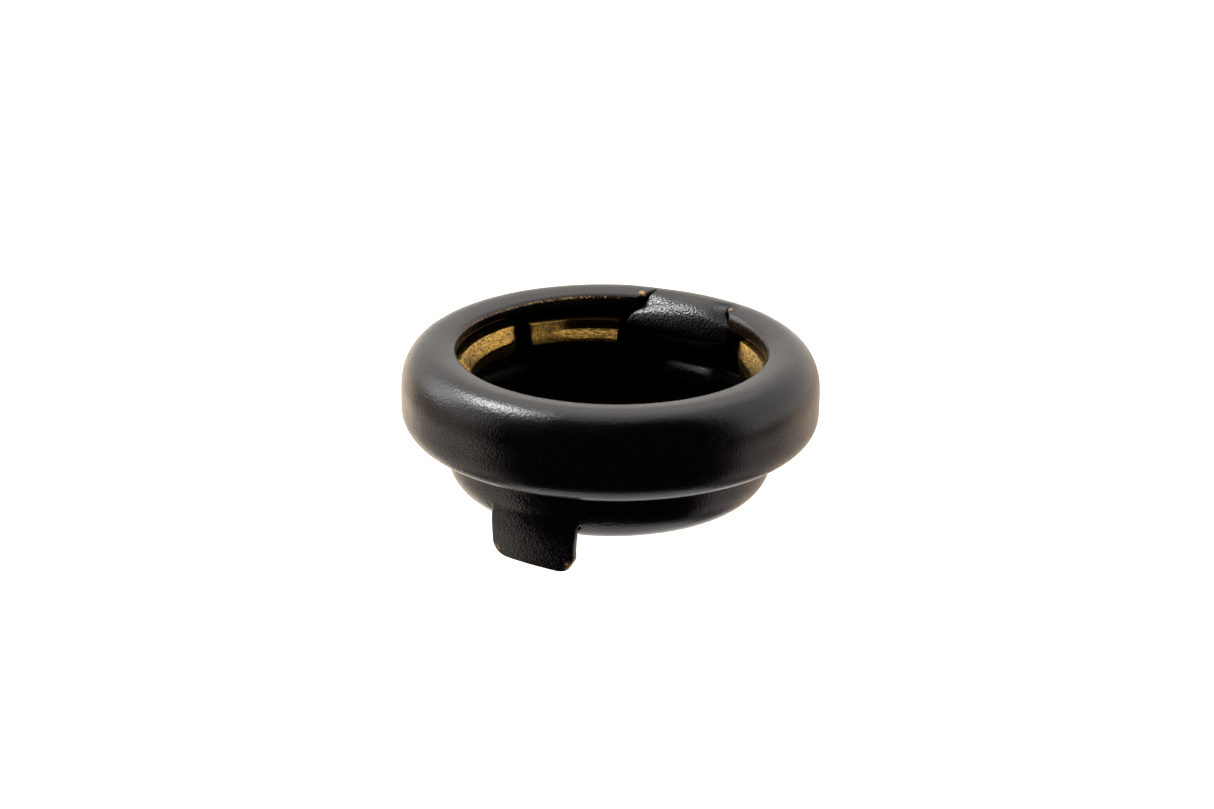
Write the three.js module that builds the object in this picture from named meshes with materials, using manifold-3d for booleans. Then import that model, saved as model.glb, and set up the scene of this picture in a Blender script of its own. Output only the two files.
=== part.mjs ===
// Directional snap fastener socket: a pressed rim shell with a rigid hook, a base cup with a
// locating tab, six sprung brass jaws and the split ring spring that closes them on the stud.
// Millimetres. +Z points out of the mouth, towards the stud. The origin is on the axis, on the
// underside of the cup's floor, where the cap's barrel comes through.
// Azimuths are in degrees, counted from +X towards +Y.

import * as THREE from 'three';
import { mergeVertices } from 'three/addons/utils/BufferGeometryUtils.js';
import Module from 'manifold-3d';

const wasm = await Module();
wasm.setup();

// Driving dimensions
const SHEET = 0.4; // thickness of the shell and the cup
const FIT = 0.03; // gap between pieces that touch
const TURNS = 72; // facets round a full turn

const RIM = {
  outerRadius: 7.0,
  topZ: 5.117,
  crownRadius: 5.92,
  topCornerDrop: 1.352,
  lowerZ: 2.095,
  lowerCorner: { across: 0.829, down: 0.872 },
  lipRadius: 5.14,
  lip: { shoulder: 0.4, round: 0.12, fall: 0.035, nose: 0.117, edge: 0.277, under: 0.477 },
};

const CUP = {
  collarRadius: 5.443,
  corner: { across: 1.512, down: 1.242 },
  barrelHoleRadius: 2.1,
  flangeRadius: 6.25,
  shoulder: 0.457,
};

const TAB = { azimuth: 242, halfWidth: 1.65, bottomZ: -0.9, cornerRadius: 0.45 };

// The rigid tongue. Left is its side towards higher azimuths, where the slot beside it is longer.
const HOOK = {
  azimuth: 62,
  noseHalfWidth: 1.9,
  leftRoot: 1.42,
  rightRoot: 1.75,
  slot: 0.1,
  rootRadius: 5.9,
  nearRadius: 4.0,
  farRadius: 6.3,
};

const JAW = {
  bottomZ: 2.955,
  topRound: 0.05,
  backRadius: 5.85,
  undercut: { radius: 5.08, z: 3.32 },
  grooveRadius: 5.27,
  grooveHalfHeight: 0.27,
};

// A jaw's front, as [radius, z] from its top edge down. It leans in to a crest near its middle.
const LEANING_FRONT = [
  [4.97, 4.3],
  [4.7, 3.97],
  [4.69, 3.9],
  [4.75, 3.5],
  [4.82, 3.41],
];

// The first jaw's front stands upright down to a step, and leans in below it.
const STEPPED_FRONT = [
  [4.97, 4.22],
  [4.97, 3.9],
  [4.67, 3.57],
  [4.62, 3.52],
  [4.67, 3.47],
];

// Each jaw's first and last azimuth. The first is cut short to clear the hook.
const JAW_SPANS = [
  [87, 124.5],
  [135, 177.6],
  [188.1, 230.7],
  [241.2, 283.8],
  [294.3, 336.9],
  [347.4, 389.5],
];

const SPRING = { wireRadius: 0.21, ringRadius: 5.8, z: 3.65, splitAzimuth: 66, splitDegrees: 8 };

const blackFinish = { color: 0x1c1c1f, roughness: 0.42, metalness: 0.35 };
const brassFinish = { color: 0xb08d45, roughness: 0.38, metalness: 1.0 };
const springFinish = { color: 0x4a4640, roughness: 0.5, metalness: 1.0 };

const radians = THREE.MathUtils.degToRad;

// Points of an elliptical arc in the (radius, z) half-plane.
function arc(radius, z, across, up, from, to, steps) {
  const points = [];
  for (let i = 0; i <= steps; i += 1) {
    const angle = radians(from + ((to - from) * i) / steps);
    points.push(new THREE.Vector2(radius + across * Math.cos(angle), z + up * Math.sin(angle)));
  }
  return points;
}

function point(radius, z) {
  return new THREE.Vector2(radius, z);
}

// A closed geometry as a solid that can be joined and cut.
function solid(geometry) {
  const bare = geometry.index ? geometry : geometry.clone();
  bare.deleteAttribute('normal');
  bare.deleteAttribute('uv');
  const welded = mergeVertices(bare, 1e-5);
  const mesh = new wasm.Mesh({
    numProp: 3,
    vertProperties: new Float32Array(welded.attributes.position.array),
    triVerts: new Uint32Array(welded.index.array),
  });
  return new wasm.Manifold(mesh);
}

// Revolves a closed section, listed counter-clockwise in (radius, z), about +Z.
function revolve(section) {
  const geometry = new THREE.LatheGeometry([...section, section[0].clone()], TURNS);
  geometry.rotateX(Math.PI / 2);
  return solid(geometry);
}

// An outline in the (x, y) plane, extruded from one z to another.
function prism(outline, fromZ, toZ) {
  const shape = new THREE.Shape(outline);
  const geometry = new THREE.ExtrudeGeometry(shape, { depth: toZ - fromZ, bevelEnabled: false });
  geometry.translate(0, 0, fromZ);
  return geometry;
}

function turnedTo(geometry, azimuth) {
  return solid(geometry.rotateZ(radians(azimuth)));
}

function named(name, body, finish) {
  const { numProp, vertProperties, triVerts } = body.getMesh();
  const geometry = new THREE.BufferGeometry();
  geometry.setAttribute('position', new THREE.BufferAttribute(vertProperties, numProp));
  geometry.setIndex(new THREE.BufferAttribute(triVerts, 1));
  geometry.computeVertexNormals();
  const mesh = new THREE.Mesh(geometry, new THREE.MeshStandardMaterial(finish));
  mesh.name = name;
  return mesh;
}

// The rolled sheet of the rim: under-turned edge, wall, crown and lip, then back along its inside.
function rimSection() {
  const { outerRadius, topZ, crownRadius, topCornerDrop, lowerZ, lowerCorner, lipRadius, lip } = RIM;
  const across = outerRadius - crownRadius;
  const cornerZ = topZ - topCornerDrop;
  const lowerRadius = outerRadius - lowerCorner.across;
  const lowerCentreZ = lowerZ + lowerCorner.down;
  const edgeRadius = CUP.collarRadius + FIT;
  return [
    point(edgeRadius, lowerZ),
    ...arc(lowerRadius, lowerCentreZ, lowerCorner.across, lowerCorner.down, -90, 0, 5),
    ...arc(crownRadius, cornerZ, across, topCornerDrop, 0, 90, 7),
    point(lipRadius + lip.shoulder, topZ - lip.fall),
    point(lipRadius + lip.round, topZ - lip.nose),
    point(lipRadius, topZ - lip.edge),
    point(lipRadius + lip.round, topZ - lip.under),
    point(lipRadius + lip.shoulder, topZ - SHEET - lip.fall),
    ...arc(crownRadius, cornerZ, across - SHEET, topCornerDrop - SHEET, 90, 0, 5),
    ...arc(lowerRadius, lowerCentreZ, lowerCorner.across - SHEET, lowerCorner.down - SHEET, 0, -90, 3),
    point(edgeRadius, lowerZ + SHEET),
  ];
}

// The tongue's sheet, offset to both sides of its middle line: crown, nose, undercut and foot.
function hookSection() {
  const middle = new THREE.SplineCurve([
    point(6.0, 4.9),
    point(5.6, 4.83),
    point(5.25, 4.7),
    point(4.99, 4.44),
    point(4.9, 4.15),
    point(4.98, 3.9),
    point(5.14, 3.68),
    point(5.19, 3.45),
    point(5.08, 3.27),
    point(4.86, 3.19),
  ]);
  const steps = 18;
  const rootThickness = 0.75;
  const drawnThickness = 0.95;
  const outer = [];
  const inner = [];
  for (let i = 0; i <= steps; i += 1) {
    const at = middle.getPoint(i / steps);
    const along = middle.getTangent(i / steps);
    const share = i === 0 ? rootThickness : drawnThickness;
    const side = point(along.y, -along.x).multiplyScalar((share * SHEET) / 2);
    outer.push(at.clone().add(side));
    inner.push(at.clone().sub(side));
  }
  return [...outer, ...inner.reverse()];
}

// The tongue's plan, pointing along +X: a nose a little wider than the root.
function hookPlan() {
  const { noseHalfWidth, leftRoot, rightRoot, nearRadius, farRadius } = HOOK;
  const noseRadius = 5.05;
  const neckRadius = 5.35;
  return [
    point(farRadius, leftRoot),
    point(neckRadius, leftRoot),
    point(noseRadius, noseHalfWidth),
    point(nearRadius, noseHalfWidth),
    point(nearRadius, -noseHalfWidth),
    point(noseRadius, -noseHalfWidth),
    point(neckRadius, -rightRoot),
    point(farRadius, -rightRoot),
  ];
}

// The opening that the tongue was lanced from. It clears the nose, and runs up both sides of the
// root as a torn slot, further on the left than on the right.
function openingPlan() {
  const { noseHalfWidth, leftRoot, rightRoot, slot, nearRadius, farRadius } = HOOK;
  const overlap = 0.05;
  const leftSlot = { deepest: 5.75, open: 5.3, nose: 5.15 };
  const rightSlot = { deepest: 5.5, open: 5.35, nose: 5.15 };
  return [
    point(farRadius, leftRoot - overlap),
    point(leftSlot.deepest, leftRoot + slot / 2),
    point(leftSlot.open, leftRoot + slot),
    point(leftSlot.nose, noseHalfWidth + slot),
    point(nearRadius, noseHalfWidth + slot),
    point(nearRadius, -noseHalfWidth - slot),
    point(rightSlot.nose, -noseHalfWidth - slot),
    point(rightSlot.open, -rightRoot - slot),
    point(rightSlot.deepest, -rightRoot + overlap),
    point(farRadius, -rightRoot + overlap),
  ];
}

function rimShell() {
  const insideLip = RIM.lipRadius - SHEET;
  const belowLip = RIM.topZ - 2 * SHEET;
  const aboveRim = RIM.topZ + SHEET;
  const lip = revolve([
    point(insideLip, belowLip),
    point(HOOK.rootRadius, belowLip),
    point(HOOK.rootRadius, aboveRim),
    point(insideLip, aboveRim),
  ]);
  const opening = lip.intersect(turnedTo(prism(openingPlan(), RIM.lowerZ, aboveRim), HOOK.azimuth));
  const sweep = revolve(hookSection());
  const tongue = sweep.intersect(turnedTo(prism(hookPlan(), RIM.lowerZ, aboveRim), HOOK.azimuth));
  return revolve(rimSection()).subtract(opening).add(tongue);
}

// Floor, corner, collar, flange and shoulder of the cup, listed from the barrel hole outwards.
function cupSection() {
  const { collarRadius, corner, barrelHoleRadius, flangeRadius, shoulder } = CUP;
  const floorRadius = collarRadius - corner.across;
  const flangeZ = RIM.lowerZ + SHEET + FIT;
  const insideRadius = collarRadius - SHEET;
  const topZ = flangeZ + SHEET;
  return [
    point(barrelHoleRadius, 0),
    ...arc(floorRadius, corner.down, corner.across, corner.down, -90, 0, 7),
    point(collarRadius, flangeZ),
    point(flangeRadius - SHEET / 4, flangeZ),
    point(flangeRadius, flangeZ + SHEET / 4),
    point(flangeRadius, topZ),
    ...arc(insideRadius + shoulder, topZ - shoulder, shoulder, shoulder, 90, 180, 3),
    ...arc(floorRadius, corner.down, corner.across - SHEET, corner.down - SHEET, 0, -90, 5),
    point(barrelHoleRadius, SHEET),
  ];
}

// The tab's outline seen from outside, with rounded lower corners, extruded along +X.
function tabOutline() {
  const { halfWidth, bottomZ, cornerRadius } = TAB;
  const turnZ = bottomZ + cornerRadius;
  const flat = halfWidth - cornerRadius;
  const rootZ = CUP.corner.down + SHEET / 2;
  const outline = [
    point(halfWidth, rootZ),
    ...arc(flat, turnZ, cornerRadius, cornerRadius, 0, -90, 4),
    ...arc(-flat, turnZ, cornerRadius, cornerRadius, -90, -180, 4),
    point(-halfWidth, rootZ),
  ];
  const geometry = prism(outline, 0, RIM.outerRadius);
  geometry.rotateX(Math.PI / 2);
  geometry.rotateZ(Math.PI / 2);
  return geometry;
}

function baseCup() {
  const { collarRadius, corner } = CUP;
  const floorRadius = collarRadius - corner.across;
  const outside = collarRadius + SHEET;
  const windowOutline = [
    point(floorRadius, -TAB.halfWidth),
    point(outside, -TAB.halfWidth),
    point(outside, TAB.halfWidth),
    point(floorRadius, TAB.halfWidth),
  ];
  const window = turnedTo(prism(windowOutline, -SHEET, corner.down), TAB.azimuth);
  const wall = revolve([
    point(collarRadius - SHEET, TAB.bottomZ - SHEET),
    point(collarRadius, TAB.bottomZ - SHEET),
    point(collarRadius, corner.down + SHEET),
    point(collarRadius - SHEET, corner.down + SHEET),
  ]);
  const tab = wall.intersect(turnedTo(tabOutline(), TAB.azimuth));
  return revolve(cupSection()).subtract(window).add(tab);
}

// A jaw's section: its front over an undercut, and a groove in the back for the spring.
function jawSection(front) {
  const { bottomZ, topRound, backRadius, undercut, grooveRadius } = JAW;
  const grooveLow = SPRING.z - JAW.grooveHalfHeight;
  const grooveHigh = SPRING.z + JAW.grooveHalfHeight;
  const [faceRadius, faceTop] = front[0];
  const topZ = faceTop + topRound;
  return [
    point(undercut.radius, bottomZ),
    point(backRadius, bottomZ),
    point(backRadius, grooveLow),
    point(grooveRadius, grooveLow),
    point(grooveRadius, grooveHigh),
    point(backRadius, grooveHigh),
    point(backRadius, topZ),
    point(faceRadius + topRound, topZ),
    ...front.map(([radius, z]) => point(radius, z)),
    point(undercut.radius, undercut.z),
  ];
}

function jaw(ring, [from, to]) {
  const reach = RIM.outerRadius + 1;
  const steps = 6;
  const outline = [point(0, 0)];
  for (let i = 0; i <= steps; i += 1) {
    const angle = radians(from + ((to - from) * i) / steps);
    outline.push(point(reach * Math.cos(angle), reach * Math.sin(angle)));
  }
  return ring.intersect(solid(prism(outline, CUP.corner.down, RIM.topZ)));
}

// An open ring of round wire, split behind the hook.
function jawSpring() {
  const { wireRadius, ringRadius, z, splitAzimuth, splitDegrees } = SPRING;
  const start = splitAzimuth + splitDegrees / 2;
  const span = 360 - splitDegrees;
  const stops = 64;
  const path = [];
  for (let i = 0; i <= stops; i += 1) {
    const angle = radians(start + (span * i) / stops);
    path.push(new THREE.Vector3(ringRadius * Math.cos(angle), ringRadius * Math.sin(angle), z));
  }
  const wire = new THREE.Shape(arc(0, 0, wireRadius, wireRadius, 0, 315, 7));
  const extrudePath = new THREE.CatmullRomCurve3(path);
  return solid(new THREE.ExtrudeGeometry(wire, { steps: stops, extrudePath, bevelEnabled: false }));
}

const socket = new THREE.Group();
socket.add(named('rim_shell', rimShell(), blackFinish));
socket.add(named('base_cup', baseCup(), blackFinish));
socket.add(named('jaw_spring', jawSpring(), springFinish));

const steppedRing = revolve(jawSection(STEPPED_FRONT));
const leaningRing = revolve(jawSection(LEANING_FRONT));
JAW_SPANS.forEach((span, index) => {
  const ring = index === 0 ? steppedRing : leaningRing;
  socket.add(named(`jaw_${index + 1}`, jaw(ring, span), brassFinish));
});

export default socket;
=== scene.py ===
"""Looks for the directional snap fastener socket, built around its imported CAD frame.

Lengths inside the mesh builders are millimetres, as in the CAD part, and become metres when a
mesh is made. Azimuths are degrees from +X towards +Y. The hook and the tab lie opposite each other.
"""
import math

import bpy
from mathutils import Matrix, Vector, noise


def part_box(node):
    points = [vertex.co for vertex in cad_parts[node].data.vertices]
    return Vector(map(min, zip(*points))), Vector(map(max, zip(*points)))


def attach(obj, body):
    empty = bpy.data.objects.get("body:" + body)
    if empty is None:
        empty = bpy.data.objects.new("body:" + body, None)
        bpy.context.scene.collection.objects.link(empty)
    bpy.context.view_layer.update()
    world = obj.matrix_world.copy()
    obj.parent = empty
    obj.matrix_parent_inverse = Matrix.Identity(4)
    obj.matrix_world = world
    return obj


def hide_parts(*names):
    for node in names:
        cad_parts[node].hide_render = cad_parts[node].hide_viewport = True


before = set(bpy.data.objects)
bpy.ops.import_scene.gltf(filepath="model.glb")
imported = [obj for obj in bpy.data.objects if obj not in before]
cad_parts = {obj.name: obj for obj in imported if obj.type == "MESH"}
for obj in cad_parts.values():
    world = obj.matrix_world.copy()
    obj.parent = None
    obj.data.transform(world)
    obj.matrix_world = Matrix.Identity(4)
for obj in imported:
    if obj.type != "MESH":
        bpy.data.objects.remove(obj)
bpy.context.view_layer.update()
MM = 0.001


def box_mm(node):
    """A CAD node's lowest and highest corners, in millimetres."""
    low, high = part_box(node)
    return low / MM, high / MM


# Driving dimensions, from the CAD nodes' boxes where those hold them.
RIM_LOW, RIM_HIGH = box_mm("rim_shell")
CUP_LOW, CUP_HIGH = box_mm("base_cup")
JAW_LOW, JAW_HIGH = box_mm("jaw_2")
FIRST_JAW_TOP = box_mm("jaw_1")[1].z
SPRING_LOW, SPRING_HIGH = box_mm("jaw_spring")

SHEET = 0.4
CLEARANCE = 0.03
OUTER_RADIUS = RIM_HIGH.x
RIM_TOP = RIM_HIGH.z
RIM_UNDER = RIM_LOW.z
COLLAR_RADIUS = 5.443
BARREL_RADIUS = 2.1
FLANGE_RADIUS = CUP_HIGH.x
FLANGE_UNDER = CUP_HIGH.z - SHEET
HOOK_AZIMUTH = 62.0
TAB_AZIMUTH = 242.0
TAB_HALF_WIDTH = 1.65
TAB_BOTTOM = CUP_LOW.z

# Rounded corners of the sheet, quarters of an ellipse, as (across, up).
TOP_CORNER = (1.08, 1.352)
LOWER_CORNER = (0.829, 0.872)
COLLAR_CORNER = (1.512, 1.242)
CROWN_RADIUS = OUTER_RADIUS - TOP_CORNER[0]

# Where each jaw starts and stops, as azimuths.
JAW_SPANS = {
    "jaw_1": (87.0, 124.5),
    "jaw_2": (131.0, 177.6),
    "jaw_3": (188.1, 230.7),
    "jaw_4": (241.2, 283.8),
    "jaw_5": (294.3, 336.9),
    "jaw_6": (347.4, 390.6),
}


# ---------------------------------------------------------------- small geometry helpers

def polar(radius, azimuth, z):
    """The point at a radius, an azimuth and a height."""
    angle = math.radians(azimuth)
    return Vector((radius * math.cos(angle), radius * math.sin(angle), z))


def smooth(start, stop, value):
    """0 up to start, 1 from stop on, and an even S-curve between. start may be the higher one."""
    t = min(1.0, max(0.0, (value - start) / (stop - start)))
    return t * t * (3.0 - 2.0 * t)


def arc(radius, z, across, up, start, stop, steps):
    """Points of an elliptical arc in the (radius, z) half-plane, both ends included."""
    points = []
    for i in range(steps + 1):
        angle = math.radians(start + (stop - start) * i / steps)
        points.append((radius + across * math.cos(angle), z + up * math.sin(angle)))
    return points


def spline(points, steps):
    """A Catmull-Rom curve through the points, as steps + 1 evenly spaced parameters."""
    ends = [points[0], *points, points[-1]]
    spans = len(points) - 1
    curve = []
    for i in range(steps + 1):
        at = min(i * spans / steps, spans - 1e-9)
        k = int(at)
        t = at - k
        a, b, c, d = (Vector(p) for p in ends[k:k + 4])
        curve.append(0.5 * (2 * b + (c - a) * t + (2 * a - 5 * b + 4 * c - d) * t * t
                            + (3 * b - a - 3 * c + d) * t ** 3))
    return curve


class Surface:
    """Vertices found by a key, and the faces between them."""

    def __init__(self):
        self.points = []
        self.index = {}
        self.faces = []

    def vertex(self, key, point):
        """Adds a point, unless one with the same key is there already."""
        if key not in self.index:
            self.index[key] = len(self.points)
            self.points.append(point)

    def face(self, *keys):
        self.faces.append([self.index[key] for key in keys])

    def make(self, name):
        mesh = bpy.data.meshes.new(name)
        mesh.from_pydata([tuple(p * MM for p in point) for point in self.points], [], self.faces)
        mesh.validate()
        obj = bpy.data.objects.new(name, mesh)
        bpy.context.scene.collection.objects.link(obj)
        return obj


def settle(obj):
    """Replaces the object's mesh by what its modifiers make of it."""
    graph = bpy.context.evaluated_depsgraph_get()
    mesh = bpy.data.meshes.new_from_object(obj.evaluated_get(graph))
    obj.modifiers.clear()
    obj.data = mesh
    for polygon in mesh.polygons:
        polygon.use_smooth = True
    return obj


def thicken(obj, levels):
    """Gives a surface the sheet's thickness on its hidden side, and rounds the cut edges."""
    shell = obj.modifiers.new("sheet", "SOLIDIFY")
    shell.thickness = SHEET * MM
    shell.offset = -1.0
    shell.use_even_offset = True
    shell.use_quality_normals = True
    rounding = obj.modifiers.new("rounding", "SUBSURF")
    rounding.levels = levels
    rounding.render_levels = levels
    return settle(obj)


def unevenness(obj, height, size, seed):
    """Slight hand-pressed waviness: moves each point along its normal."""
    offset = Vector((seed * 11.3, seed * 5.7, seed * 3.1))
    mesh = obj.data
    normals = [v.normal.copy() for v in mesh.vertices]
    for v, normal in zip(mesh.vertices, normals):
        place = v.co / (size * MM) + offset
        wave = noise.noise(place) + 0.4 * noise.noise(place * 2.3)
        v.co += normal * (height * MM * wave)
    mesh.update()


def paint(obj, name, value):
    """Stores value(radius, azimuth, z) on every point, for the materials to read."""
    layer = obj.data.attributes.new(name, "FLOAT", "POINT")
    for point, item in zip(obj.data.vertices, layer.data):
        x, y, z = point.co / MM
        item.value = value(math.hypot(x, y), math.degrees(math.atan2(y, x)) % 360.0, z)


def turn_between(azimuth, other):
    """The angle between two azimuths, from 0 to 180 degrees."""
    return abs((azimuth - other + 180.0) % 360.0 - 180.0)


def around(azimuth, centre, inner, outer):
    """1 within inner degrees of a centre, falling to 0 at outer degrees from it."""
    return smooth(outer, inner, turn_between(azimuth, centre))


def near(radius, azimuth, z, place, size):
    """1 at a place given as (radius, azimuth, z), falling to 0 at a distance of size."""
    gap = (polar(radius, azimuth, z) - polar(*place)).length
    return smooth(size, 0.35 * size, gap)


def angle_of(sideways, radius):
    """The angle, in degrees, that a distance to the side takes up at a radius."""
    return math.degrees(math.asin(sideways / radius))


def looked_up(table, at):
    """The table's value at a place, on straight lines between its rows."""
    if at <= table[0][0]:
        return table[0][1]
    for (low, before), (high, after) in zip(table, table[1:]):
        if at <= high:
            return before + (after - before) * (at - low) / (high - low)
    return table[-1][1]


def gathered(share, pull):
    """Spaces a share of a turn closer together near both of its ends, by pull from 0 to 1."""
    return share - pull * math.sin(2 * math.pi * share) / (2 * math.pi)


# ---------------------------------------------------------------- rim shell with its hook

TONGUE_COLUMNS = 30
LIP_COLUMNS = 168
SLOT_DEPTH_ROWS = 2

# The lip's level part, as radii, and its turned-down edge, as (radius, height).
LIP_RADII = [5.8, 5.66, 5.52, 5.4, 5.3]
LIP_EDGE = [(5.24, 4.995), (5.2, 4.955), (5.18, 4.9), (5.175, 4.82), (5.175, 4.7), (5.18, 4.58)]

# How far the tongue goes to each side once it has come in to a radius, as (radius, sideways).
TONGUE_LEFT = [(4.72, 1.97), (4.78, 1.9), (4.87, 1.81), (5.0, 1.7), (5.2, 1.57), (5.42, 1.47), (5.92, 1.31)]
TONGUE_RIGHT = [(4.73, 1.9), (4.9, 1.94), (5.0, 1.97), (5.1, 1.97), (5.3, 1.8), (5.45, 1.66), (5.92, 1.6)]
LEFT_ROOT = TONGUE_LEFT[-1][1]
RIGHT_ROOT = TONGUE_RIGHT[-1][1]

# Small bare spots on the rim, as (place, size), where a place is (radius, azimuth, z).
RIM_SPOTS = [
    ((5.5, 79.0, 5.02), 0.27),
    ((5.55, 43.0, 5.03), 0.21),
    ((6.55, 187.0, 4.78), 0.07),
    ((6.35, 256.0, 4.98), 0.06),
    ((6.75, 270.5, 4.5), 0.05),
]
SPOT_WEAR = 0.62


def rim_rows():
    """The outside of the rim's section, from its turned-in edge up to the crown."""
    across, down = LOWER_CORNER
    edge = COLLAR_RADIUS + CLEARANCE
    rows = [(edge, RIM_UNDER), (edge + 0.07, RIM_UNDER), (5.75, RIM_UNDER), (5.97, RIM_UNDER)]
    rows += arc(OUTER_RADIUS - across, RIM_UNDER + down, across, down, -90, 0, 7)
    rows += [(OUTER_RADIUS, 3.23), (OUTER_RADIUS, 3.5)]
    rows += arc(CROWN_RADIUS, RIM_TOP - TOP_CORNER[1], *TOP_CORNER, 0, 90, 10)
    return rows


def lip_height(radius):
    """Height of the lip's upper side: a shallow ellipse falling away from the crown."""
    ellipse_height = 0.36
    share = min(1.0, CROWN_RADIUS - radius)
    return RIM_TOP - ellipse_height * (1.0 - math.sqrt(1.0 - share * share))


def lip_rows():
    """The lip's section from the crown inwards, with its edge turned down."""
    return [(radius, lip_height(radius)) for radius in LIP_RADII] + LIP_EDGE


def lip_sag(row, azimuth):
    """How far a row of the lip's turned-down edge hangs lower, on the side of the last jaw."""
    lowest_row = 0.17
    share = max(0.0, (row - len(LIP_RADII)) / len(LIP_EDGE))
    return lowest_row * share * around(azimuth, 10.0, 25.0, 50.0)


def hook_dip(radius, azimuth):
    """The crown is pressed down a little where the tongue was bent inwards."""
    deepest = 0.05
    return deepest * around(azimuth, HOOK_AZIMUTH, 8.0, 26.0) * smooth(6.9, 5.9, radius)


def tongue_path():
    """The tongue's upper side along its middle: crown, slope, nose, undercut and foot."""
    drawn = [
        (5.68, 5.1),
        (5.42, 5.045),
        (5.18, 4.93),
        (4.98, 4.75),
        (4.83, 4.52),
        (4.74, 4.26),
        (4.72, 4.0),
        (4.79, 3.76),
        (4.93, 3.57),
        (5.06, 3.42),
        (5.12, 3.28),
        (5.14, 3.13),
    ]
    shared = [Vector((CROWN_RADIUS, RIM_TOP)), Vector((LIP_RADII[0], lip_height(LIP_RADII[0])))]
    return shared + spline(drawn, 52)


def tongue_edges(reach):
    """How far the tongue goes to its left and right once it has come in to a radius."""
    return looked_up(TONGUE_LEFT, reach), looked_up(TONGUE_RIGHT, reach)


def tongue_roll(across):
    """How far the tongue's sides are rolled down, the right more than the left."""
    return (0.35 if across > 0 else 0.49) * across ** 2


def tongue_point(path, step, across):
    """A point of the tongue's upper side. across runs from -1, its right edge, to 1, its left."""
    steps = len(path) - 1
    here = path[step]
    along = path[min(step + 1, steps)] - path[max(step - 1, 0)]
    normal = Vector((along.y, -along.x)).normalized()
    reach = min(p.x for p in path[:step + 1])
    drop = tongue_roll(across) * smooth(5.85, 5.1, reach)
    radius = here.x - normal.x * drop
    left, right = tongue_edges(reach)
    towards_foot = smooth(0.62, 0.95, step / steps)
    left -= 0.35 * towards_foot
    right -= 0.2 * towards_foot
    sideways = 0.5 * (left - right) + 0.5 * (left + right) * across
    z = here.y - normal.y * drop
    azimuth = HOOK_AZIMUTH + angle_of(sideways, radius)
    return polar(radius, azimuth, z - hook_dip(radius, azimuth))


def add_tongue(surface, last_row):
    """The hook: a tongue that grows out of the crown's last row."""
    path = tongue_path()
    steps = len(path) - 1
    for step in range(1, steps + 1):
        for column in range(TONGUE_COLUMNS + 1):
            across = 2.0 * column / TONGUE_COLUMNS - 1.0
            surface.vertex(("tongue", step, column), tongue_point(path, step, across))
    for step in range(steps):
        for column in range(TONGUE_COLUMNS):
            low = [("tongue", step, column + k) if step else ("ring", last_row, column + k) for k in (0, 1)]
            high = [("tongue", step + 1, column + k) for k in (0, 1)]
            surface.face(low[0], low[1], high[1], high[0])


def lip_azimuth(column, left, right):
    """Azimuths round the lip from the tongue's left side to its right, closer together near it."""
    return HOOK_AZIMUTH + left + (360.0 - left - right) * gathered(column / LIP_COLUMNS, 0.5)


def lip_key(row, column, last_row):
    """The lip shares the crown's points, and the tongue's on the right until the slot begins."""
    if row == 0:
        return ("ring", last_row, (TONGUE_COLUMNS + column) % (TONGUE_COLUMNS + LIP_COLUMNS))
    if column == LIP_COLUMNS and row <= SLOT_DEPTH_ROWS:
        return ("tongue", row, 0)
    return ("lip", row, column)


def add_lip(surface, last_row):
    """The lip round the mouth, with a torn slot beside each side of the tongue."""
    rows = lip_rows()
    for row, (radius, height) in enumerate(rows, 1):
        left_edge, right_edge = tongue_edges(max(radius, 5.23))
        left_edge += 0.01 + 0.03 * smooth(5.85, 5.2, radius)
        right_edge += 0.05 * smooth(5.6, 5.25, radius)
        for column in range(LIP_COLUMNS + 1):
            azimuth = lip_azimuth(column, angle_of(left_edge, radius), angle_of(right_edge, radius))
            z = height - hook_dip(radius, azimuth) - lip_sag(row, azimuth)
            surface.vertex(lip_key(row, column, last_row), polar(radius, azimuth, z))
    for row in range(len(rows)):
        for column in range(LIP_COLUMNS):
            low = [lip_key(row, column + k, last_row) for k in (0, 1)]
            high = [lip_key(row + 1, column + k, last_row) for k in (0, 1)]
            surface.face(low[0], low[1], high[1], high[0])


def ring_azimuth(column):
    """Azimuths round the rim: evenly across the tongue's root, then as the lip's."""
    left = angle_of(LEFT_ROOT, CROWN_RADIUS)
    right = angle_of(RIGHT_ROOT, CROWN_RADIUS)
    if column <= TONGUE_COLUMNS:
        sideways = -RIGHT_ROOT + (LEFT_ROOT + RIGHT_ROOT) * column / TONGUE_COLUMNS
        return HOOK_AZIMUTH + angle_of(sideways, CROWN_RADIUS)
    return lip_azimuth(column - TONGUE_COLUMNS, left, right)


def rim_wear(radius, azimuth, z):
    """How worn the finish is: along the mouth's edge, below it on the cut face, and at the spots."""
    spots = max(near(radius, azimuth, z, place, size) for place, size in RIM_SPOTS)
    if turn_between(azimuth, HOOK_AZIMUTH) < 22.0:
        return SPOT_WEAR * spots
    edge = smooth(5.32, 5.2, radius) * smooth(4.86, 4.93, z)
    busy = max(around(azimuth, 128.0, 20.0, 75.0), around(azimuth, 20.0, 20.0, 46.0))
    cut_face = smooth(5.5, 5.3, radius) * smooth(4.1, 4.3, z) * smooth(4.95, 4.9, z)
    brown = max(0.1 * around(azimuth, 170.0, 20.0, 60.0), around(azimuth, 8.0, 30.0, 50.0))
    return max(edge * (0.24 + 0.32 * busy), cut_face * (0.04 + 0.36 * brown), SPOT_WEAR * spots)


def rim_painted_shade(radius, azimuth, z):
    """Painted shade, as dark matt metal: fully under the hook, and partly in the corner at its right."""
    under = smooth(3.8, 3.3, z) * smooth(5.4, 5.3, radius)
    return max(under, 0.5 * near(radius, azimuth, z, (5.48, 46.5, 5.0), 0.8))


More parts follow.
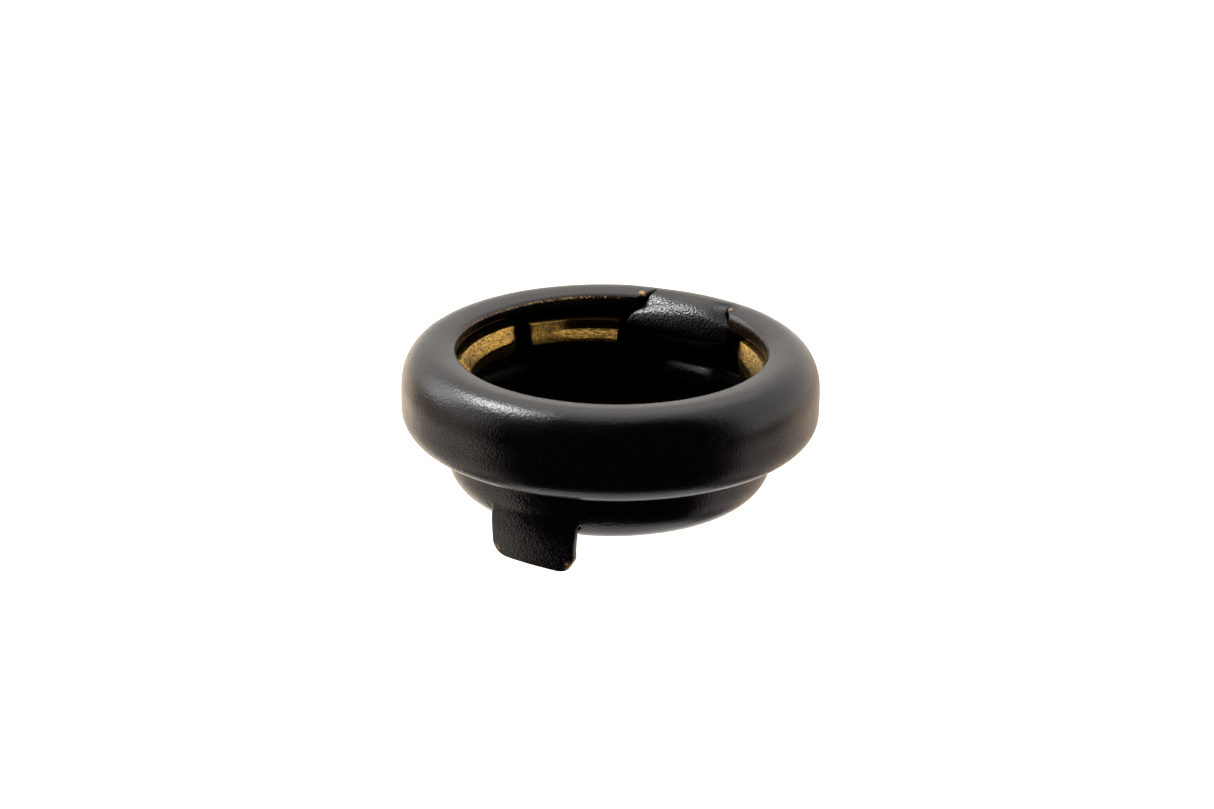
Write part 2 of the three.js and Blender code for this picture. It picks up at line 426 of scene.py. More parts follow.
def rim_grain(radius, azimuth, z):
    """How coarse the finish's grain is: most on the tongue, less by the lip and on the front left."""
    on_tongue = 0.8 * around(azimuth, HOOK_AZIMUTH, 17.0, 24.0)
    by_lip = 0.35 * around(azimuth, 15.0, 25.0, 45.0)
    inside = max(on_tongue, by_lip) * smooth(5.8, 5.3, radius)
    outside = 0.4 * around(azimuth, 215.0, 15.0, 45.0) * smooth(5.9, 6.3, radius)
    return max(inside, outside)


def build_rim():
    """The pressed outer ring with its lip and its hook, all one sheet."""
    surface = Surface()
    rows = rim_rows()
    last_row = len(rows) - 1
    columns = TONGUE_COLUMNS + LIP_COLUMNS
    for row, (radius, z) in enumerate(rows):
        for column in range(columns):
            azimuth = ring_azimuth(column)
            surface.vertex(("ring", row, column), polar(radius, azimuth, z - hook_dip(radius, azimuth)))
    for row in range(last_row):
        for column in range(columns):
            after = (column + 1) % columns
            surface.face(("ring", row, column), ("ring", row, after),
                         ("ring", row + 1, after), ("ring", row + 1, column))
    add_tongue(surface, last_row)
    add_lip(surface, last_row)
    rim = thicken(surface.make("rim_with_hook"), 2)
    unevenness(rim, 0.006, 1.7, 1)
    paint(rim, "wear", rim_wear)
    # Painted shade under the hook and in the corner at its right, stored for the enamel.
    paint(rim, "painted_shade", rim_painted_shade)
    paint(rim, "pebbled", rim_grain)
    return rim


# ---------------------------------------------------------------- base cup with its tab

TAB_COLUMNS = 22
CUP_COLUMNS = 150
TAB_JOINED_ROWS = 3
CORNER_STEPS = 12

# How far down the tab's free part each of its rows lies, as a share of that part.
TAB_SHARES = [0.1, 0.22, 0.35, 0.48, 0.6, 0.72, 0.82, 0.9, 0.96, 1.0]


def cup_rows():
    """The outside of the cup's section, from the barrel hole out to the flange's edge."""
    across, up = COLLAR_CORNER
    floor = COLLAR_RADIUS - across
    rows = [(r, 0.0) for r in (BARREL_RADIUS, 2.17, 2.4, 2.75, 3.15, 3.55)]
    window_start = len(rows)
    rows += arc(floor, up, across, up, -90, 0, CORNER_STEPS)
    window_stop = len(rows) - 1
    rows += [(COLLAR_RADIUS, z) for z in (1.55, 1.9, 2.2, 2.4)]
    bend = 0.07
    rows += arc(COLLAR_RADIUS + bend, FLANGE_UNDER - bend, bend, bend, 180, 90, 4)
    rows += [(5.75, FLANGE_UNDER), (6.0, FLANGE_UNDER), (6.17, FLANGE_UNDER), (FLANGE_RADIUS, FLANGE_UNDER)]
    return rows, window_start, window_stop


def cup_azimuth(column, radius):
    """Azimuths round the cup: evenly across the tab, then round the rest, closer near the tab."""
    half_window = TAB_HALF_WIDTH - 0.35 * smooth(5.33, 5.0, radius)
    half = angle_of(half_window, max(radius, COLLAR_RADIUS - COLLAR_CORNER[0]))
    if column <= TAB_COLUMNS:
        return TAB_AZIMUTH + half * (2.0 * column / TAB_COLUMNS - 1.0)
    return TAB_AZIMUTH + half + (360.0 - 2 * half) * gathered((column - TAB_COLUMNS) / CUP_COLUMNS, 0.4)


def tab_bottom(across):
    """The tab's lower edge: a little lower on the right, with elliptical corners."""
    corner_share, corner_height = 0.38, 0.55
    past = max(0.0, abs(across) - (1.0 - corner_share)) / corner_share
    slant = 0.03 * (1.0 - across)
    return TAB_BOTTOM + slant + corner_height * (1.0 - math.sqrt(max(0.0, 1.0 - past * past)))


def tab_key(step, column, top_row):
    """The tab's upper corners share the points of the cup's rounded corner beside it."""
    at_side = column in (0, TAB_COLUMNS)
    if step == 0 or (at_side and step <= TAB_JOINED_ROWS):
        return ("cup", top_row - step, column)
    return ("tab", step, column)


def tab_height(step, across):
    """Height of the tab's rows: beside the cup's corner first, then down to its lower edge."""
    up = COLLAR_CORNER[1]
    corner_step = min(step, TAB_JOINED_ROWS)
    beside = up + up * math.sin(math.radians(-90.0 * corner_step / CORNER_STEPS))
    if step <= TAB_JOINED_ROWS:
        return beside
    return beside + (tab_bottom(across) - beside) * TAB_SHARES[step - 1 - TAB_JOINED_ROWS]


def tab_radius(across, z):
    """The tab hangs flush with the collar below a crease, its lower half turned and bent a little."""
    crease = 0.045 * math.exp(-((z - 0.95) / 0.16) ** 2)
    turned = smooth(1.0, 0.3, z) * (0.11 * across + 0.1 * across * across)
    return COLLAR_RADIUS - crease + turned + 0.03 * smooth(0.8, 0.2, z) - 0.07 * smooth(0.2, -0.9, z)


def add_tab(surface, top_row):
    """The tab, left straight where the cup's corner turns in behind it."""
    count = TAB_JOINED_ROWS + len(TAB_SHARES)
    for step in range(1, count + 1):
        for column in range(TAB_COLUMNS + 1):
            across = 2.0 * column / TAB_COLUMNS - 1.0
            z = tab_height(step, across)
            radius = tab_radius(across, z)
            sideways = across * (TAB_HALF_WIDTH - 0.05 * smooth(0.9, -0.6, z))
            place = polar(radius, TAB_AZIMUTH + angle_of(sideways, radius), z)
            surface.vertex(tab_key(step, column, top_row), place)
    for step in range(count):
        for column in range(TAB_COLUMNS):
            high = [tab_key(step, column + k, top_row) for k in (0, 1)]
            low = [tab_key(step + 1, column + k, top_row) for k in (0, 1)]
            surface.face(low[0], low[1], high[1], high[0])


def cup_wear(radius, azimuth, z):
    """How worn the finish is: the tab's two lower corners and, less, its lower edge."""
    corners = max(0.58 * near(radius, azimuth, z, (5.35, 227.0, -0.6), 0.3),
                  0.56 * near(radius, azimuth, z, (5.5, 257.5, -0.62), 0.42))
    edge = 0.46 * smooth(-0.75, -0.85, z)
    return max(corners, edge)


def cup_painted_shade(radius, azimuth, z):
    """Painted shade, as dark matt metal: fully on the shoulder, but for two stretches at its top where it
    is left off, wholly on the first and in part on the second.
    """
    shoulder = smooth(1.5, 1.8, z) * smooth(5.4, 5.3, radius)
    unshaded = max(around(azimuth, 58.0, 5.0, 12.0), 0.25 * around(azimuth, 140.0, 10.0, 24.0))
    return shoulder * (1.0 - unshaded * smooth(2.2, 2.5, z))


def cup_grain(radius, azimuth, z):
    """How coarse the grain is on the tab and on the collar above it, where the sheet was bent."""
    return 0.45 * around(azimuth, TAB_AZIMUTH, 22.0, 45.0) * smooth(5.0, 5.3, radius)


def build_cup():
    """The pressed cup with its tab, all one sheet, with a window where the tab was cut."""
    surface = Surface()
    rows, window_start, window_stop = cup_rows()
    columns = TAB_COLUMNS + CUP_COLUMNS
    for row, (radius, z) in enumerate(rows):
        for column in range(columns):
            in_window = window_start < row < window_stop and 0 < column < TAB_COLUMNS
            if not in_window:
                surface.vertex(("cup", row, column), polar(radius, cup_azimuth(column, radius), z))
    for row in range(len(rows) - 1):
        for column in range(columns):
            if window_start <= row < window_stop and column < TAB_COLUMNS:
                continue
            after = (column + 1) % columns
            surface.face(("cup", row, column), ("cup", row, after),
                         ("cup", row + 1, after), ("cup", row + 1, column))
    add_tab(surface, window_stop)
    cup = thicken(surface.make("cup_with_tab"), 2)
    unevenness(cup, 0.006, 1.4, 2)
    paint(cup, "wear", cup_wear)
    # Painted shade on the shoulder inside the cup, stored for the enamel.
    paint(cup, "painted_shade", cup_painted_shade)
    paint(cup, "pebbled", cup_grain)
    return cup


# ---------------------------------------------------------------- jaws and their spring

# How far back from its start and from its end a jaw's face is rounded off, how much the face
# rises from start to end, and how much its lower part narrows at its rounded ends.
JAW_ENDS = {
    "jaw_1": (0.1, 0.12, 0.14, 0.1),
    "jaw_2": (0.75, 0.25, 0.0, 0.3),
    "jaw_3": (0.2, 0.25, 0.03, 0.1),
    "jaw_4": (0.25, 0.15, -0.02, 0.1),
    "jaw_5": (0.15, 0.3, 0.02, 0.1),
    "jaw_6": (0.25, 1.6, 0.03, 0.75),
}
# How much further a sheared end reaches at the crest, in degrees a millimetre.
SHEARED_SLANT = {"jaw_1": 7.0}
FIRST_JAW_RISE = JAW_ENDS["jaw_1"][2]

# Radii of a jaw's back, of its underside's front edge and of its face's top edges.
JAW_BACK = 5.85
JAW_UNDERCUT = 5.08
FACE_START = 5.05
FIRST_FACE_START = 4.97

# The spring's groove in a jaw's back, as (radius of its bottom, half its height).
GROOVE = (5.27, 0.27)

# Heights of the crest on jaws 2 to 6, and of the first jaw's step and crest.
CREST_Z = 3.93
STEP_Z = 3.82
LOW_CREST_Z = 3.52


def jaw_section(front, top):
    """A jaw's section, counter-clockwise in (radius, z), round its front from the top down."""
    middle = (SPRING_LOW.z + SPRING_HIGH.z) / 2
    groove, half = GROOVE
    return [
        (JAW_UNDERCUT, JAW_LOW.z),
        (JAW_BACK, JAW_LOW.z),
        (JAW_BACK, middle - half),
        (groove, middle - half),
        (groove, middle + half),
        (JAW_BACK, middle + half),
        (JAW_BACK, top),
        (FACE_START, top),
        *front,
    ]


def leaning_front():
    """A face that leans in from the top to a crest near its middle, and a steep lower face."""
    return [
        (4.98, JAW_HIGH.z - 0.05),
        (4.86, 4.15),
        (4.72, CREST_Z + 0.06),
        (4.69, CREST_Z),
        (4.7, CREST_Z - 0.08),
        (4.72, 3.7),
        (4.75, 3.5),
        (4.83, 3.4),
        (JAW_UNDERCUT, 3.32),
    ]


def stepped_front(azimuth):
    """The first jaw's upright face over a step that fades out, and its lower face leaning in."""
    soft = smooth(103.0, 115.0, azimuth)
    return [
        (FIRST_FACE_START, FIRST_JAW_TOP - 0.12),
        (4.95 - 0.11 * soft, STEP_Z + 0.06),
        (4.93 - 0.12 * soft, STEP_Z + 0.01),
        (4.84 - 0.06 * soft, STEP_Z - 0.02),
        (4.72 - 0.045 * soft, LOW_CREST_Z + 0.15),
        (4.64, LOW_CREST_Z + 0.07),
        (4.62, LOW_CREST_Z),
        (4.65, LOW_CREST_Z - 0.07),
        (4.75, LOW_CREST_Z - 0.13),
        (JAW_UNDERCUT, LOW_CREST_Z - 0.2),
    ]


def jaw_section_at(name, azimuth):
    """A jaw's own section at an azimuth: stepped for the first jaw, leaning for the others."""
    if name == "jaw_1":
        return jaw_section(stepped_front(azimuth), FIRST_JAW_TOP - 0.08)
    return jaw_section(leaning_front(), JAW_HIGH.z)


def end_roundness(name, azimuth):
    """1 along a jaw, falling as a quarter circle to nearly 0 at its rounded ends."""
    start, stop = JAW_SPANS[name]
    first, last = JAW_ENDS[name][:2]
    from_start = math.radians(azimuth - start) * JAW_UNDERCUT + 0.01
    from_stop = math.radians(stop - azimuth) * JAW_UNDERCUT + 0.01
    share = min(1.0, from_start / first, from_stop / last)
    return math.sqrt(1.0 - (1.0 - share) ** 2)


def jaw_place(name, share, azimuth, radius, z):
    """Where a point of a jaw's section lies, given its rounded ends, its tilt and its slant."""
    rise, narrowing = JAW_ENDS[name][2:]
    if radius <= FACE_START:
        full = end_roundness(name, azimuth)
        radius = JAW_UNDERCUT - (JAW_UNDERCUT - radius) * full
        loss = (narrowing if z < CREST_Z else 0.1) * (1.0 - full)
        z = CREST_Z + (z - CREST_Z) * (1.0 - loss) + rise * share
    slant = SHEARED_SLANT.get(name, 0.0) * share ** 3 * max(0.0, FIRST_FACE_START - radius)
    return polar(radius, azimuth + slant, z)


def first_jaw_tarnish_and_painted_shade(azimuth, z):
    """The first jaw: painted shade over its step, on top and darkest underneath, and browner with tarnish
    towards its end.
    """
    start, stop = JAW_SPANS["jaw_1"]
    level = z - FIRST_JAW_RISE * (azimuth - start) / (stop - start)
    under = smooth(LOW_CREST_Z, LOW_CREST_Z - 0.08, level)
    over_step = smooth(STEP_Z + 0.02, STEP_Z + 0.07, level) * smooth(116.0, 105.0, azimuth)
    on_top = smooth(FIRST_JAW_TOP - 0.13, FIRST_JAW_TOP - 0.1, level)
    return max(under, 0.8 * over_step, 0.8 * on_top, 0.08 + 0.28 * smooth(104.0, 114.0, azimuth))


def jaw_tarnish_and_painted_shade(radius, azimuth, z):
    """Bright on the rubbed face over the crest; brown painted on below it and behind as shade, and the last
    jaw a little darker all over.
    """
    behind = smooth(JAW_UNDERCUT, JAW_UNDERCUT + 0.08, radius)
    if turn_between(azimuth, 107.0) < 22.0:
        return max(behind, first_jaw_tarnish_and_painted_shade(azimuth, z))
    under = 0.4 * smooth(CREST_Z, CREST_Z - 0.1, z) + 0.5 * smooth(3.48, 3.36, z)
    on_last = 0.22 * around(azimuth, 10.0, 22.0, 26.0)
    return max(behind, under, on_last)


def close_sweep(surface, steps, count):
    """Joins a sweep's sections, each of count points keyed (step, k), and closes both ends."""
    for step in range(steps):
        for k in range(count):
            after = (k + 1) % count
            surface.face((step, k), (step, after), (step + 1, after), (step + 1, k))
    surface.face(*[(0, k) for k in range(count)][::-1])
    surface.face(*[(steps, k) for k in range(count)])


def build_jaw(name, seed):
    """One jaw: its section swept round its span, closed at both ends, with every corner rounded."""
    surface = Surface()
    start, stop = JAW_SPANS[name]
    steps = 48
    for step in range(steps + 1):
        share = step / steps
        azimuth = start + (stop - start) * gathered(share, 0.6)
        section = jaw_section_at(name, azimuth)
        for k, (radius, z) in enumerate(section):
            surface.vertex((step, k), jaw_place(name, share, azimuth, radius, z))
    close_sweep(surface, steps, len(section))
    jaw = surface.make(f"brass_{name}")
    bevel = jaw.modifiers.new("corners", "BEVEL")
    bevel.width = 0.04 * MM
    bevel.segments = 3
    bevel.limit_method = "ANGLE"
    bevel.angle_limit = math.radians(25)
    settle(jaw)
    unevenness(jaw, 0.005, 0.6, seed)
    # Tarnish and painted shade, stored for the brass.
    paint(jaw, "tarnish_and_painted_shade", jaw_tarnish_and_painted_shade)
    return jaw


def build_spring():
    """An open ring of round wire, with round ends."""
    surface = Surface()
    wire = (SPRING_HIGH.z - SPRING_LOW.z) / 2
    centre_z = (SPRING_HIGH.z + SPRING_LOW.z) / 2
    ring = SPRING_HIGH.x - wire
    start, span = 70.0, 352.0
    steps, sides = 220, 16
    for step in range(steps + 1):
        azimuth = start + span * step / steps
        to_end = min(step, steps - step)
        size = wire * math.sqrt(1 - (1 - min(1.0, (to_end + 0.12) / 1.6)) ** 2)
        for k in range(sides):
            angle = 2 * math.pi * k / sides
            place = polar(ring + size * math.cos(angle), azimuth, centre_z + size * math.sin(angle))
            surface.vertex((step, k), place)
    close_sweep(surface, steps, sides)
    return settle(surface.make("ring_spring"))


# ---------------------------------------------------------------- materials

CLEAN_BLACK = (0.0005, 0.0005, 0.0008)
DUSTY_BLACK = (0.006, 0.0055, 0.006)
SCUFFED_BROWN = (0.022, 0.012, 0.007)
RED_COPPER = (0.50, 0.25, 0.10)
YELLOW_COPPER = (0.58, 0.36, 0.15)
DULL_BRASS = (0.21, 0.12, 0.027)
BRIGHT_BRASS = (0.63, 0.385, 0.095)
# Dark brown for real tarnish, and also painted on the jaws as shade.
AGED_AND_SHADED_BRASS = (0.024, 0.013, 0.004)
PITTED_BRASS = (0.06, 0.033, 0.01)
# Both steel colours are kept very dark, partly as painted shade so the spring stays dark between the jaws.
OILED_STEEL_WITH_SHADE = (0.018, 0.016, 0.014)
BARE_STEEL_WITH_SHADE = (0.06, 0.052, 0.045)


def new_material(name):
    material = bpy.data.materials.new(name)
    material.use_nodes = True
    tree = material.node_tree
    return material, tree, tree.nodes["Principled BSDF"]


def node(tree, kind, **inputs):
    """Adds a node and sets its inputs by name, with _ for a space."""
    made = tree.nodes.new(kind)
    for key, value in inputs.items():
        made.inputs[key.replace("_", " ")].default_value = value
    return made


def noise_of(tree, place, scale, detail, roughness=0.55):
    """Noise from 0 to 1. A scale of 10000 has features of about 0.1 mm."""
    made = node(tree, "ShaderNodeTexNoise", Scale=scale, Detail=detail, Roughness=roughness)
    tree.links.new(place, made.inputs["Vector"])
    return made.outputs["Fac"]


def pebbles_of(tree, place, scale):
    """Rounded grains with creases between them."""
    made = node(tree, "ShaderNodeTexVoronoi", Scale=scale)
    made.feature = "SMOOTH_F1"
    made.inputs["Smoothness"].default_value = 0.6
    tree.links.new(place, made.inputs["Vector"])
    return combine(tree, "MULTIPLY", made.outputs["Distance"], -1.0)


def ramp(tree, source, low, high, from_value=0.0, to_value=1.0):
    """Maps a value between low and high smoothly onto from_value and to_value."""
    made = node(tree, "ShaderNodeMapRange", From_Min=low, From_Max=high, To_Min=from_value, To_Max=to_value)
    made.interpolation_type = "SMOOTHSTEP"
    tree.links.new(source, made.inputs["Value"])
    return made.outputs["Result"]


def combine(tree, operation, first, second):
    """A Math node of two sockets or numbers."""
    made = tree.nodes.new("ShaderNodeMath")
    made.operation = operation
    for socket, value in zip(made.inputs, (first, second)):
        if isinstance(value, (int, float)):
            socket.default_value = value
        else:
            tree.links.new(value, socket)
    return made.outputs["Value"]


def mix_colour(tree, share, first, second):
    """Mixes two colours, each a socket or a (red, green, blue)."""
    made = tree.nodes.new("ShaderNodeMix")
    made.data_type = "RGBA"
    tree.links.new(share, made.inputs["Factor"])
    for socket, value in zip((made.inputs[6], made.inputs[7]), (first, second)):
        if isinstance(value, tuple):
            socket.default_value = (*value, 1.0)
        else:
            tree.links.new(value, socket)
    return made.outputs[2]


def attribute(tree, name):
    """What paint() stored on the points."""
    made = tree.nodes.new("ShaderNodeAttribute")
    made.attribute_name = name
    return made.outputs["Fac"]


def bump(tree, height, distance, strength, under=None):
    """A normal bent by a height, distance being millimetres, over the bump under it."""
    made = node(tree, "ShaderNodeBump", Strength=strength, Distance=distance * MM)
    tree.links.new(height, made.inputs["Height"])
    if under is not None:
        tree.links.new(under, made.inputs["Normal"])
    return made.outputs["Normal"]


def object_place(tree):
    return tree.nodes.new("ShaderNodeTexCoord").outputs["Object"]


def enamel():
    """Black baked finish: orange-peel grain, dull patches, copper where worn, and painted shade as dark
    matt metal.
    """
    material, tree, shader = new_material("black_enamel")
    place = object_place(tree)
    grain = noise_of(tree, place, 11500.0, 2.0)
    fine = noise_of(tree, place, 21000.0, 3.0)
    patches = noise_of(tree, place, 900.0, 4.0)
    flecks = noise_of(tree, place, 14000.0, 3.0, 0.7)

    rubbed = combine(tree, "ADD", attribute(tree, "wear"), combine(tree, "MULTIPLY", flecks, 0.9))
    bare = ramp(tree, rubbed, 0.98, 1.12)
    scuffed = ramp(tree, rubbed, 0.72, 1.0)

    black = mix_colour(tree, ramp(tree, fine, 0.62, 0.8), CLEAN_BLACK, DUSTY_BLACK)
    brown = mix_colour(tree, scuffed, black, SCUFFED_BROWN)
    copper = mix_colour(tree, ramp(tree, patches, 0.4, 0.6), RED_COPPER, YELLOW_COPPER)
    tree.links.new(mix_colour(tree, bare, brown, copper), shader.inputs["Base Color"])
    # A black metal reflects nothing, which is how the painted shade keeps its places dark.
    painted_shade = attribute(tree, "painted_shade")
    metal = combine(tree, "MAXIMUM", combine(tree, "MULTIPLY", bare, 0.85), painted_shade)
    tree.links.new(metal, shader.inputs["Metallic"])

    dull = ramp(tree, patches, 0.35, 0.7, 0.18, 0.24)
    uneven = combine(tree, "ADD", dull, combine(tree, "MULTIPLY", fine, 0.08))
    rough = combine(tree, "ADD", uneven, combine(tree, "MULTIPLY", painted_shade, 0.4))
    tree.links.new(rough, shader.inputs["Roughness"])
    shader.inputs["IOR"].default_value = 1.5
    chipped = bump(tree, combine(tree, "MULTIPLY", bare, -1.0), 0.012, 1.0)
    pebbles = combine(tree, "MULTIPLY", pebbles_of(tree, place, 13500.0), attribute(tree, "pebbled"))
    coarse = combine(tree, "ADD", combine(tree, "MULTIPLY", grain, 0.5), pebbles)
    peel = bump(tree, coarse, 0.022, 0.8, chipped)
    tree.links.new(bump(tree, fine, 0.004, 0.8, peel), shader.inputs["Normal"])
    return material


def brass():
    """Drawn brass: rubbed bright on the face, brown elsewhere with tarnish and painted shade, pitted and
    scratched.
    """
    material, tree, shader = new_material("jaw_brass")
    place = object_place(tree)
    cloud = noise_of(tree, place, 2600.0, 5.0, 0.65)
    pits = noise_of(tree, place, 12000.0, 3.0, 0.6)
    stretch = node(tree, "ShaderNodeMapping", Scale=(1.0, 1.0, 9.0))
    tree.links.new(place, stretch.inputs["Vector"])
    scratches = noise_of(tree, stretch.outputs["Vector"], 5200.0, 3.0, 0.6)

    # Tarnish together with painted shade, as painted on the jaws.
    tarnish_and_painted_shade = attribute(tree, "tarnish_and_painted_shade")
    stained_and_shaded = ramp(tree, combine(tree, "ADD", tarnish_and_painted_shade, combine(tree, "MULTIPLY", cloud, 0.7)), 0.42, 1.05)
    pitted = ramp(tree, pits, 0.34, 0.46, 1.0, 0.0)
    rubbed = mix_colour(tree, ramp(tree, scratches, 0.38, 0.6), DULL_BRASS, BRIGHT_BRASS)
    aged_and_shaded = mix_colour(tree, stained_and_shaded, rubbed, AGED_AND_SHADED_BRASS)
    tree.links.new(mix_colour(tree, pitted, aged_and_shaded, PITTED_BRASS), shader.inputs["Base Color"])
    shader.inputs["Metallic"].default_value = 1.0
    tree.links.new(ramp(tree, stained_and_shaded, 0.0, 1.0, 0.26, 0.55), shader.inputs["Roughness"])
    worn = bump(tree, pits, 0.018, 0.8)
    tree.links.new(bump(tree, scratches, 0.010, 0.6, worn), shader.inputs["Normal"])
    return material


def steel():
    """Spring wire blackened unevenly by oil, and kept very dark as painted shade so it stays dark between
    the jaws.
    """
    material, tree, shader = new_material("spring_steel")
    place = object_place(tree)
    cloud = noise_of(tree, place, 1800.0, 4.0)
    tree.links.new(mix_colour(tree, cloud, OILED_STEEL_WITH_SHADE, BARE_STEEL_WITH_SHADE), shader.inputs["Base Color"])
    shader.inputs["Metallic"].default_value = 1.0
    tree.links.new(ramp(tree, cloud, 0.3, 0.7, 0.4, 0.6), shader.inputs["Roughness"])
    tree.links.new(bump(tree, noise_of(tree, place, 9000.0, 2.0), 0.006, 0.6), shader.inputs["Normal"])
    return material


# ---------------------------------------------------------------- studio

CAMERA_ELEVATION = 21.172
CAMERA_DISTANCE = 135.08
CAMERA_ROLL = -0.917
CAMERA_TARGET_Z = 3.0
CAMERA_LENS = 119.6
CAMERA_SHIFT = (-0.00274, -0.0005)
FLOOR_Z = -60.0
FLOOR_SIDE = 6000.0
FLOOR_GLOW = 0.45
WORLD_GLOW = 1.18
WARM_WHITE = (0.98, 0.93, 0.88)
BLACK = (0.0, 0.0, 0.0)
SHADE_GREY = (0.66, 0.66, 0.68)

# Cloths that show only in reflections: name, colour, own light, distance, azimuths and elevations.
CLOTHS = [
    ("front_cloth", BLACK, 0.0, 54.0, (203.0, 341.0), (-62.0, 74.0)),
    ("right_cloth", (0.45, 0.41, 0.4), 0.0, 55.0, (341.0, 376.0), (-42.0, -14.0)),
    ("upper_right_cloth", (0.2, 0.18, 0.17), 0.0, 55.0, (341.0, 376.0), (-14.0, 2.0)),
    ("back_right_cloth", (0.58, 0.49, 0.41), 0.0, 55.5, (376.0, 432.0), (-42.0, 2.0)),
    ("back_cloth", (0.98, 0.86, 0.72), 0.3, 55.7, (432.0, 500.0), (-42.0, 2.0)),
    ("left_cloth", (0.72, 0.68, 0.65), 0.0, 55.0, (140.0, 203.0), (-42.0, -14.0)),
    ("upper_left_cloth", (0.4, 0.36, 0.33), 0.0, 55.0, (140.0, 203.0), (-14.0, 12.0)),
    ("low_cloth", (0.15, 0.15, 0.16), 0.0, 56.0, (130.0, 410.0), (-60.0, -42.0)),
]

# Soft boxes: name, azimuth, elevation, distance, (width, height) and radiance.
SOFT_BOXES = [
    ("key", 155, 37, 220, (95, 205), 2.8),
    ("key_core", 163, 56, 220, (80, 75), 21.0),
    ("overhead", 90, 60, 240, (260, 170), 0.8),
]


def add_camera():
    """The camera looks along +Y and down at the axis, turned a little about its own view."""
    data = bpy.data.cameras.new("camera")
    camera = bpy.data.objects.new("camera", data)
    bpy.context.scene.collection.objects.link(camera)
    tilt = math.radians(CAMERA_ELEVATION)
    roll = math.radians(CAMERA_ROLL)
    back = Vector((0, -math.cos(tilt), math.sin(tilt)))
    level = Vector((1, 0, 0))
    upright = Vector((0, math.sin(tilt), math.cos(tilt)))
    right = level * math.cos(roll) - upright * math.sin(roll)
    up = level * math.sin(roll) + upright * math.cos(roll)
    place = (Vector((0, 0, CAMERA_TARGET_Z)) + back * CAMERA_DISTANCE) * MM
    turned = Matrix((right, up, back)).transposed().to_4x4()
    camera.matrix_world = Matrix.Translation(place) @ turned
    data.lens = CAMERA_LENS
    data.sensor_width = 36.0
    data.shift_x, data.shift_y = CAMERA_SHIFT
    data.clip_start = 0.005
    data.clip_end = 10.0
    bpy.context.scene.camera = camera


def add_plane(name, centre, size, material):
    """A level card facing up, its sides size = (width, height) in millimetres."""
    half_width, half_height = size[0] / 2, size[1] / 2
    mesh = bpy.data.meshes.new(name)
    corners = [(-half_width, -half_height), (half_width, -half_height),
               (half_width, half_height), (-half_width, half_height)]
    mesh.from_pydata([(x * MM, y * MM, 0) for x, y in corners], [], [(0, 1, 2, 3)])
    card = bpy.data.objects.new(name, mesh)
    bpy.context.scene.collection.objects.link(card)
    card.location = Vector(centre) * MM
    mesh.materials.append(material)
    return card


def plain(name, colour, glow=0.0):
    """A matt studio material, with a little light of its own in its colour if glow is over 0."""
    material, _, shader = new_material(name)
    shader.inputs["Base Color"].default_value = (*colour, 1)
    shader.inputs["Roughness"].default_value = 0.9
    shader.inputs["Specular IOR Level"].default_value = 0.0
    shader.inputs["Emission Color"].default_value = (*colour, 1)
    shader.inputs["Emission Strength"].default_value = glow
    return material


def show_only_in_reflections(card):
    card.visible_camera = False
    card.visible_shadow = False
    card.visible_diffuse = False


def add_cloth(name, material, radius, azimuths, elevations):
    """A cloth curved round the object, which only shows in its reflections."""
    surface = Surface()
    steps = 24
    for i in range(steps + 1):
        azimuth = azimuths[0] + (azimuths[1] - azimuths[0]) * i / steps
        for j in range(steps + 1):
            tilt = math.radians(elevations[0] + (elevations[1] - elevations[0]) * j / steps)
            surface.vertex((i, j), polar(radius * math.cos(tilt), azimuth, radius * math.sin(tilt)))
    for i in range(steps):
        for j in range(steps):
            surface.face((i, j), (i + 1, j), (i + 1, j + 1), (i, j + 1))
    cloth = surface.make(name)
    cloth.data.materials.append(material)
    show_only_in_reflections(cloth)


def add_floor():
    white = plain("floor_white", WARM_WHITE, FLOOR_GLOW)
    add_plane("floor", (0, 0, FLOOR_Z), (FLOOR_SIDE, FLOOR_SIDE), white)


def add_floor_shade():
    """A grey card just above the floor darkens the floor's reflection in the object."""
    shade = add_plane("floor_shade", (0, 0, FLOOR_Z + 4), (110, 110), plain("shade_grey", SHADE_GREY))
    show_only_in_reflections(shade)


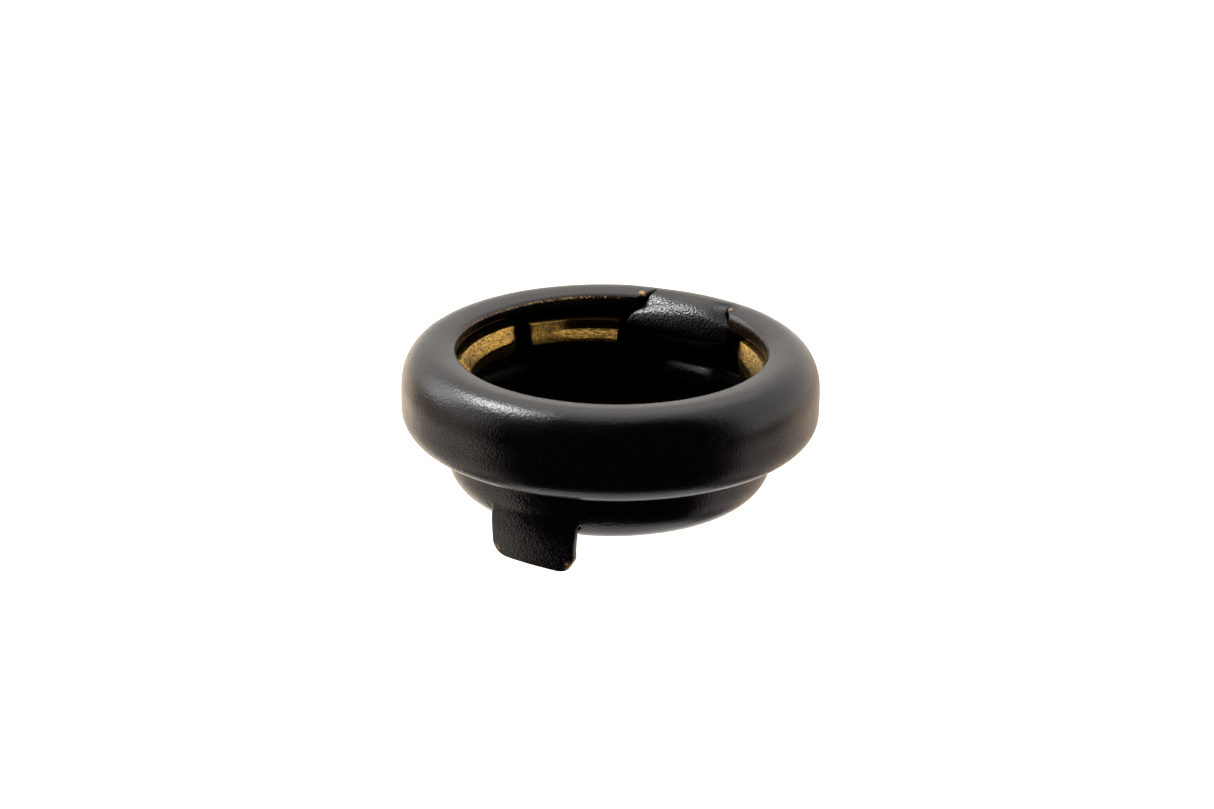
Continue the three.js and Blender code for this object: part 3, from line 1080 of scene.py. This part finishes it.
def add_hole_flag():
    """A small black card under the barrel hole keeps light from below out of the mouth."""
    size = 2.0 * BARREL_RADIUS + 0.3
    card = add_plane("hole_flag", (0, 0, -0.12), (size, size), plain("flag_black", BLACK))
    card.visible_camera = False


def add_light(name, azimuth, elevation, distance, size, radiance):
    """A soft box, size = (width, height), pointed at the object and as bright as radiance."""
    width, height = (side * MM for side in size)
    data = bpy.data.lights.new(name, "AREA")
    data.shape = "ELLIPSE"
    data.size = width
    data.size_y = height
    data.energy = radiance * math.pi * math.pi * width * height / 4
    lamp = bpy.data.objects.new(name, data)
    bpy.context.scene.collection.objects.link(lamp)
    level = distance * math.cos(math.radians(elevation))
    place = polar(level, azimuth, distance * math.sin(math.radians(elevation)))
    lamp.location = place * MM
    lamp.rotation_euler = place.to_track_quat("Z", "Y").to_euler()


def add_world():
    """An even, warm white surround."""
    world = bpy.data.worlds.new("studio")
    world.use_nodes = True
    backdrop = world.node_tree.nodes["Background"]
    backdrop.inputs["Color"].default_value = (*WARM_WHITE, 1)
    backdrop.inputs["Strength"].default_value = WORLD_GLOW
    bpy.context.scene.world = world


def build_studio():
    add_floor()
    for name, colour, glow, radius, azimuths, elevations in CLOTHS:
        add_cloth(name, plain(f"{name}_dye", colour, glow), radius, azimuths, elevations)
    add_hole_flag()
    add_floor_shade()
    for soft_box in SOFT_BOXES:
        add_light(*soft_box)
    add_world()
    bpy.context.scene.view_settings.view_transform = "Standard"


# ---------------------------------------------------------------- assembly

def fit(piece, body, material, replaced):
    """Gives a piece its material and its body, and lets it stand for a CAD node."""
    piece.data.materials.clear()
    piece.data.materials.append(material)
    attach(piece, body)
    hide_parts(replaced)


add_camera()
build_studio()

black_enamel = enamel()
jaw_brass = brass()
fit(build_rim(), "housing", black_enamel, "rim_shell")
fit(build_cup(), "housing", black_enamel, "base_cup")
fit(build_spring(), "housing", steel(), "jaw_spring")
for number, jaw in enumerate(JAW_SPANS, 1):
    fit(build_jaw(jaw, number), jaw, jaw_brass, jaw)
